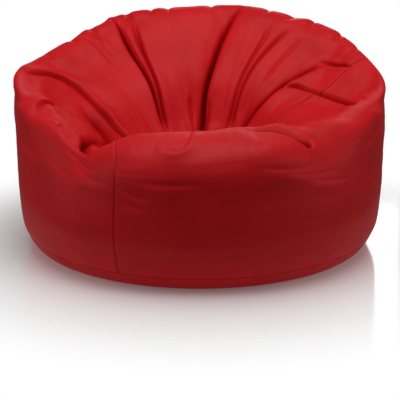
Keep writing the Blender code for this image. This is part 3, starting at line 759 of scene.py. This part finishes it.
def with_hems(grid, normals, axis):
    """The grid with its edge turned in at both ends of an axis, as sewn cloth is."""
    first = np.take(grid, [0], axis) - np.take(normals, [0], axis) * HEM_DEPTH
    last = np.take(grid, [-1], axis) - np.take(normals, [-1], axis) * HEM_DEPTH
    return np.concatenate([first, grid, last], axis)


def add_shade(obj, values):
    """A point attribute of painted shade, which darkens the red down in the creases."""
    attribute = obj.data.attributes.new("painted_crease_shade", "FLOAT", "POINT")
    attribute.data.foreach_set("value", np.ascontiguousarray(values.reshape(-1), np.float32))


def make_panel(name, first, last, points, shade, material):
    azimuths = seam_columns(first, last)
    grid = columns_at(points, azimuths)
    normals = columns_at(grid_normals(points), azimuths)
    normals /= np.linalg.norm(normals, axis=-1, keepdims=True)
    reach = np.minimum(azimuths - first, last - azimuths)
    beside = np.radians(reach)[:, None] * BASE_SEAM_RADIUS
    along = arc_distance(grid, 1)
    dip = seam_dip(beside) + BASE_DIP_SHARE * seam_dip(along) + seam_dip(along[:, -1:] - along)
    grid = grid - normals * dip[..., None]
    grid = with_hems(grid, normals, 0)
    grid = with_hems(grid, np.pad(normals, ((1, 1), (0, 0), (0, 0)), mode="edge"), 1)
    obj = mesh_object(name, grid.reshape(-1, 3), grid_faces(*grid.shape[:2], False), material)
    add_shade(obj, np.pad(columns_at(shade[..., None], azimuths)[..., 0], 1, mode="edge"))
    return obj


def make_disc(name, first_row, last_row, count, gather, material):
    """The base panel or the seat disc: rows of the form round a pole, gathered a little at the seam."""
    azimuths = np.arange(DISC_COLUMNS) * 360.0 / DISC_COLUMNS
    rows = np.linspace(first_row, last_row, count)
    grid = surface(azimuths[:, None], rows[None, :])
    seam_at_end = first_row == 0
    normals = grid_normals(grid)
    normals[:, 0 if seam_at_end else -1] = (0, 0, -1 if seam_at_end else 1)
    along = arc_distance(grid, 1)
    to_seam = along[:, -1:] - along if seam_at_end else along
    random = np.random.RandomState(3)
    ripple = sum(
        np.sin(np.radians(azimuths) * k + random.uniform(0, GATHER_PHASES)) * random.uniform(0.4, 1.0)
        for k in GATHER_WAVES
    )
    fade = np.exp(-to_seam / GATHER_REACH) * smooth_step(to_seam / GATHER_START)
    dip = (BASE_DIP_SHARE if seam_at_end else 1.0) * seam_dip(to_seam)
    height = gather * ripple[:, None] * fade - dip
    grid = grid + normals * height[..., None]
    grid[..., 2] = np.maximum(grid[..., 2], 0.0)
    edge = -1 if seam_at_end else 0
    hem = grid[:, [edge]] - normals[:, [edge]] * HEM_DEPTH
    grid = np.concatenate([grid, hem] if seam_at_end else [hem, grid], 1)
    obj = mesh_object(name, grid.reshape(-1, 3), grid_faces(*grid.shape[:2], True), material)
    bm = bmesh.new()
    bm.from_mesh(obj.data)
    bmesh.ops.remove_doubles(bm, verts=bm.verts, dist=1e-5)
    bm.to_mesh(obj.data)
    bm.free()
    return obj


def inner_layer(name, form, normals, sunk, depth, material):
    """A layer under the cover: it follows the smooth form, drawn in under the cover's creases."""
    deepest = sunk
    for shift in range(-INNER_REACH, INNER_REACH + 1):
        deepest = np.maximum(deepest, np.roll(sunk, shift, 0))
    across = deepest
    for shift in range(1, INNER_REACH + 1):
        deepest = np.maximum(deepest, np.pad(across, ((0, 0), (shift, 0)), mode="edge")[:, :-shift])
        deepest = np.maximum(deepest, np.pad(across, ((0, 0), (0, shift)), mode="edge")[:, shift:])
    grid = form - normals * (np.maximum(deepest, 0.0) + depth)[..., None]
    azimuths = np.arange(COLUMNS) * 360.0 / COLUMNS
    low, high = LINER_ZIP_SPAN
    radius = np.hypot(grid[..., 0], grid[..., 1])
    held = (off_azimuth(azimuths, LINER_ZIP_AZIMUTH) < LINER_ZIP_HALF_ANGLE)[:, None]
    held = held & (radius > LINER_ZIP_INNER)
    held &= (grid[..., 2] > low) & (grid[..., 2] < high)
    scale = np.where(held, np.minimum(1.0, (LINER_ZIP_BACK - depth + LINER_DEPTH) / radius), 1.0)
    grid[..., :2] *= scale[..., None]
    return closed_mesh(name, grid[::INNER_STEP, ::INNER_STEP], material)


# ---- stitching and zip ----
def add_bar(vertices, faces, centre, along, across, out, size):
    """A short bar with thin ends: size is its length, width and height."""
    length, width, height = size
    base = len(vertices)
    for end in BAR_RINGS:
        thin = BAR_TIP if end in (BAR_RINGS[0], BAR_RINGS[-1]) else 1.0
        for k in range(BAR_SIDES):
            a = radians(360 // BAR_SIDES * k)
            offset = across * (cos(a) * width / 2 * thin) + out * (sin(a) * height / 2 * thin)
            vertices.append(centre + along * (end * length) + offset)
    last = base + (len(BAR_RINGS) - 1) * BAR_SIDES
    for ring in range(base, last, BAR_SIDES):
        for k in range(BAR_SIDES):
            a, b = ring + k, ring + (k + 1) % BAR_SIDES
            faces.append((a, b, b + BAR_SIDES, a + BAR_SIDES))
    faces.append(tuple(base + k for k in reversed(range(BAR_SIDES))))
    faces.append(tuple(last + k for k in range(BAR_SIDES)))


def make_topstitch(name, azimuth, points, material):
    """A row of stitches beside a wall seam, from the base seam to the seat disc."""
    seam = columns_at(points, np.array((azimuth, azimuth - SEAM_SIDE, azimuth + SEAM_SIDE)))
    across = seam[2] - seam[1]
    across /= np.linalg.norm(across, axis=1, keepdims=True)
    along = np.gradient(seam[0], axis=0)
    along /= np.linalg.norm(along, axis=1, keepdims=True)
    out = np.cross(across, along)
    out /= np.linalg.norm(out, axis=1, keepdims=True)
    across = np.cross(along, out)
    line = seam[0] - across * STITCH_OFFSET + out * STITCH_LIFT
    length = np.r_[0, np.cumsum(np.linalg.norm(np.diff(line, axis=0), axis=1))]
    vertices, faces = [], []
    for at in np.arange(STITCH_END_GAP, length[-1] - STITCH_END_GAP, STITCH_PITCH):
        place = [
            np.array([np.interp(at, length, field[:, k]) for k in range(3)])
            for field in (line, along, across, out)
        ]
        add_bar(vertices, faces, *place, (STITCH_LENGTH, 2 * STITCH_RADIUS, 2 * STITCH_RADIUS))
    return mesh_object(name, vertices, faces, material)


def make_facing(name, material):
    """The strip of cloth sewn in behind the cover's zip."""
    half = ZIP_SLOT_HALF_ANGLE + FACING_BEYOND
    azimuths = np.linspace(ZIP_MIDDLE - half, ZIP_MIDDLE + half, FACING_COLUMNS)
    grid = outward(azimuths)[:, None, :] * (ZIP_RADIUS - FACING_BEHIND) * np.ones((1, FACING_ROWS, 1))
    grid[..., 2] = np.linspace(FACING_BOTTOM, FACING_TOP, FACING_ROWS)
    return mesh_object(name, grid.reshape(-1, 3), grid_faces(*grid.shape[:2], False), material)


def make_teeth(name, side, material):
    """The turns of one of the cover zip's coils, along the bar that stands for it in the CAD."""
    first, last = ZIP_MIDDLE - ZIP_HALF_ANGLE, ZIP_MIDDLE + ZIP_HALF_ANGLE
    setback = np.degrees(COIL_SETBACK / ZIP_RADIUS)
    pitch = np.degrees(TOOTH_PITCH / ZIP_RADIUS)
    offset = CHAIN_GAP_HALF + COIL_WIDTH / 2
    size = (COIL_WIDTH, TOOTH_SHARE * TOOTH_PITCH, COIL_HEIGHT)
    vertices, faces = [], []
    up = np.array((0.0, 0.0, 1.0))
    for azimuth in np.arange(first + setback + pitch, last - setback - pitch, pitch):
        out = outward(azimuth)
        along = np.cross(up, out)
        middle = out * (ZIP_RADIUS + COIL_LIFT + COIL_HEIGHT / 2) + up * (ZIP_HEIGHT + side * offset)
        add_bar(vertices, faces, middle, up, along, out, size)
    return mesh_object(name, vertices, faces, material)


# ---- materials ----
class Finish:
    """A new material, and short calls for adding shader nodes to it."""

    def __init__(self, name, colour, roughness, metallic=0.0):
        self.material = bpy.data.materials.new(name)
        self.material.use_nodes = True
        self.tree = self.material.node_tree
        self.inputs = self.tree.nodes["Principled BSDF"].inputs
        self.inputs["Base Color"].default_value = (*colour, 1.0)
        self.inputs["Roughness"].default_value = roughness
        self.inputs["Metallic"].default_value = metallic
        self.place = self.tree.nodes.new("ShaderNodeTexCoord").outputs["Object"]

    def feed(self, socket, source):
        self.link(source, self.inputs[socket])

    def link(self, source, target):
        self.tree.links.new(source, target)

    def noise(self, scale, detail=3.0, stretch=None):
        node = self.tree.nodes.new("ShaderNodeTexNoise")
        node.inputs["Scale"].default_value = scale
        node.inputs["Detail"].default_value = detail
        self.link(self.stretched(stretch), node.inputs["Vector"])
        return node.outputs["Fac"]

    def cells(self, scale, output="Distance"):
        node = self.tree.nodes.new("ShaderNodeTexVoronoi")
        node.inputs["Scale"].default_value = scale
        self.link(self.place, node.inputs["Vector"])
        return node.outputs[output]

    def stretched(self, stretch):
        if stretch is None:
            return self.place
        node = self.tree.nodes.new("ShaderNodeMapping")
        node.inputs["Scale"].default_value = stretch
        self.link(self.place, node.inputs["Vector"])
        return node.outputs["Vector"]

    def ramp(self, source, low, high, at=(0.3, 0.7)):
        node = self.tree.nodes.new("ShaderNodeValToRGB")
        for element, position, colour in zip(node.color_ramp.elements, at, (low, high)):
            element.position = position
            element.color = (*colour, 1.0)
        self.link(source, node.inputs["Fac"])
        return node.outputs["Color"]

    def span(self, source, low, high):
        node = self.tree.nodes.new("ShaderNodeMapRange")
        node.inputs["To Min"].default_value = low
        node.inputs["To Max"].default_value = high
        self.link(source, node.inputs["Value"])
        return node.outputs["Result"]

    def bump(self, source, distance, strength=1.0, under=None):
        node = self.tree.nodes.new("ShaderNodeBump")
        node.inputs["Strength"].default_value = strength
        node.inputs["Distance"].default_value = distance
        self.link(source, node.inputs["Height"])
        if under:
            self.link(under, node.inputs["Normal"])
        return node.outputs["Normal"]


def leatherette():
    """Red coated cloth: a faint cloudy tone, a pebble grain with finer creases over it, and painted
    shade down in the creases of the panels, where the red is darker and has less shine."""
    n = Finish("red_leatherette", RED, 0.5)
    tone = n.ramp(n.noise(scale=9.0, detail=4.0), *RED_RANGE)
    # painted shade: the point attribute darkens the red down in the creases
    painted_crease_shade = n.tree.nodes.new("ShaderNodeAttribute")
    painted_crease_shade.attribute_name = "painted_crease_shade"
    darker = n.tree.nodes.new("ShaderNodeMix")
    darker.data_type = "RGBA"
    darker.blend_type = "MULTIPLY"
    n.link(n.ramp(painted_crease_shade.outputs["Fac"], WHITE, CREASE_PAINTED_SHADE, at=CREASE_SHADE_RANGE), darker.inputs["B"])
    darker.inputs["Factor"].default_value = 1.0
    n.link(tone, darker.inputs["A"])
    n.feed("Base Color", darker.outputs["Result"])
    n.feed("Roughness", n.span(n.noise(scale=60.0), 0.44, 0.58))
    pebbles = n.bump(n.cells(scale=650.0), distance=0.0004, strength=0.25)
    grain = n.bump(n.noise(scale=140.0, detail=4.0), distance=0.0006, strength=0.30, under=pebbles)
    n.feed("Normal", grain)
    # painted shade: the shine fades out down in the creases
    shine = n.span(painted_crease_shade.outputs["Fac"], LEATHERETTE_SHINE, 0.0)
    n.feed("Specular IOR Level", shine)
    return n.material


def thread():
    n = Finish("thread", THREAD_RANGE[0], 0.6)
    n.feed("Base Color", n.ramp(n.noise(scale=900.0), *THREAD_RANGE))
    n.feed("Normal", n.bump(n.noise(scale=2500.0), distance=0.0002, strength=0.5))
    return n.material


def woven(name, dark, light):
    n = Finish(name, light, 0.85)
    n.feed("Base Color", n.ramp(n.noise(scale=40.0), dark, light))
    threads = n.noise(scale=1500.0, detail=1.0, stretch=(1.0, 1.0, 0.4))
    weave = n.bump(threads, distance=0.0002, strength=0.6)
    n.feed("Normal", weave)
    return n.material


def nylon(name, dark, light):
    n = Finish(name, light, 0.35)
    n.feed("Base Color", n.ramp(n.noise(scale=120.0), dark, light))
    n.feed("Roughness", n.span(n.noise(scale=300.0), 0.28, 0.42))
    return n.material


def zip_metal():
    n = Finish("zip_metal", METAL_RANGE[0], 0.3, metallic=1.0)
    n.feed("Base Color", n.ramp(n.noise(scale=200.0), *METAL_RANGE))
    n.feed("Roughness", n.span(n.noise(scale=900.0), 0.22, 0.40))
    return n.material


def beads():
    n = Finish("white_beads", BEAD_RANGE[0], 0.7)
    n.feed("Base Color", n.ramp(n.cells(BEADS_PER_METRE, "Color"), *BEAD_RANGE))
    n.feed("Normal", n.bump(n.cells(BEADS_PER_METRE), distance=0.002))
    return n.material


# ---- stage ----
def area_light(name, location, target, size, power):
    light = bpy.data.lights.new(name, "AREA")
    light.shape = "RECTANGLE"
    light.size, light.size_y = size
    light.energy = power
    obj = add_object(name, light)
    obj.location = location
    obj.rotation_euler = (Vector(target) - Vector(location)).to_track_quat("-Z", "Y").to_euler()
    return obj


def make_world():
    """Soft light from all round, in front of a white backdrop."""
    world = bpy.data.worlds.new("studio")
    bpy.context.scene.world = world
    world.use_nodes = True
    nodes, links = world.node_tree.nodes, world.node_tree.links
    ray = nodes.new("ShaderNodeLightPath")
    strength = nodes.new("ShaderNodeMapRange")
    strength.inputs["To Min"].default_value = WORLD_LIGHT
    strength.inputs["To Max"].default_value = 1.0
    links.new(ray.outputs["Is Camera Ray"], strength.inputs["Value"])
    background = nodes["Background"]
    background.inputs["Color"].default_value = (1, 1, 1, 1)
    links.new(strength.outputs["Result"], background.inputs["Strength"])


def make_floor():
    """A pale, slightly glossy disc that fades out into the white backdrop."""
    bm = bmesh.new()
    bmesh.ops.create_circle(bm, cap_ends=True, segments=FLOOR_SIDES, radius=FLOOR_RADIUS)
    mesh = bpy.data.meshes.new("floor")
    bm.to_mesh(mesh)
    bm.free()
    floor = add_object("floor", mesh)
    floor.location.z = -FLOOR_BELOW
    n = Finish("pale_floor", FLOOR_COLOUR, FLOOR_ROUGHNESS)
    n.inputs["Emission Color"].default_value = (1, 1, 1, 1)
    n.inputs["Emission Strength"].default_value = FLOOR_GLOW
    n.inputs["Coat Weight"].default_value = 1.0
    n.inputs["Coat IOR"].default_value = FLOOR_COAT_IOR
    n.inputs["Coat Roughness"].default_value = FLOOR_COAT_ROUGHNESS
    distance = n.tree.nodes.new("ShaderNodeVectorMath")
    distance.operation = "LENGTH"
    n.link(n.place, distance.inputs[0])
    fade = n.tree.nodes.new("ShaderNodeMapRange")
    fade.interpolation_type = "SMOOTHSTEP"
    fade.inputs["From Min"].default_value = FLOOR_FADE[0]
    fade.inputs["From Max"].default_value = FLOOR_FADE[1]
    fade.inputs["To Min"].default_value = 1.0
    fade.inputs["To Max"].default_value = 0.0
    n.link(distance.outputs["Value"], fade.inputs["Value"])
    n.feed("Alpha", fade.outputs["Result"])
    mesh.materials.append(n.material)


def make_lights():
    lights = {row[0]: area_light(*row) for row in LIGHTS}
    lights["behind"].visible_camera = False


def make_camera():
    camera = bpy.data.cameras.new("camera")
    camera.lens = CAMERA_LENS
    camera.sensor_width = CAMERA_SENSOR
    obj = add_object("camera", camera)
    elevation = radians(CAMERA_ELEVATION)
    obj.location = CAMERA_TARGET + CAMERA_DISTANCE * Vector((0, -cos(elevation), sin(elevation)))
    obj.rotation_euler = (radians(90.0 - CAMERA_ELEVATION), 0, 0)
    bpy.context.scene.camera = obj


def finish_piece(piece, slot, *nodes):
    """A piece of the bag: attached to the bag's body, it stands for CAD nodes, which are hidden.
    slot is not used.
    """
    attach(piece, "bag")
    if nodes:
        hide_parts(*nodes)
    return piece


def make_bag(red):
    points, form, normals, sunk, shade = build_cover()
    for name, first, last in PANELS:
        panel = make_panel("cover_" + name, first, last, points, shade, red)
        finish_piece(panel, "leatherette", name)
    seat = make_disc("cover_seat_disc", SEAT_EDGE_ROW, SEAT_ROW, SEAT_DISC_ROWS, SEAT_GATHER, red)
    finish_piece(seat, "leatherette", "seat_disc")
    base = make_disc("cover_base_panel", 0, BASE_SEAM_ROW, BASE_PANEL_ROWS, BASE_GATHER, red)
    finish_piece(base, "leatherette", "base_panel")
    sewing = thread()
    seams = (("front_left", FRONT_LEFT_SEAM), ("right", RIGHT_SEAM), ("back_left", BACK_LEFT_SEAM))
    for name, azimuth in seams:
        finish_piece(make_topstitch("topstitch_" + name, azimuth, points, sewing), "zip_tape")
    lining = woven("white_lining", *LINING_RANGE)
    sack = inner_layer("lining", form, normals, sunk, LINER_DEPTH, lining)
    finish_piece(sack, "lining", "liner_sack", "liner_base")
    filling = inner_layer("filling", form, normals, sunk, FILL_DEPTH, beads())
    finish_piece(filling, "beads", "bead_fill")


def make_zips():
    tape = woven("zip_tape", *ZIP_RANGE)
    coil = nylon("zip_coil", *ZIP_RANGE)
    liner_tape = woven("liner_zip_tape", *LINER_ZIP_RANGE)
    liner_coil = nylon("liner_zip_coil", *LINER_ZIP_RANGE)
    metal = zip_metal()
    finish_piece(make_facing("zip_facing", tape), "zip_tape")
    for name, side in (("lower", -1), ("upper", 1)):
        teeth = make_teeth("zip_teeth_" + name, side, coil)
        finish_piece(teeth, "zip_coil", "zip_coil_" + name)
    for name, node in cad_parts.items():
        if name.startswith("zip_tape"):
            finish = tape
        elif name.startswith("liner_zip_tape"):
            finish = liner_tape
        elif name.startswith("liner_zip_coil"):
            finish = liner_coil
        elif "stop" in name or "slider" in name or "pull" in name:
            finish = metal
        else:
            continue
        node.data.materials.clear()
        node.data.materials.append(finish)


def main():
    bpy.context.scene.view_settings.view_transform = "Standard"
    make_camera()
    make_world()
    make_floor()
    make_lights()
    make_bag(leatherette())
    make_zips()


main()
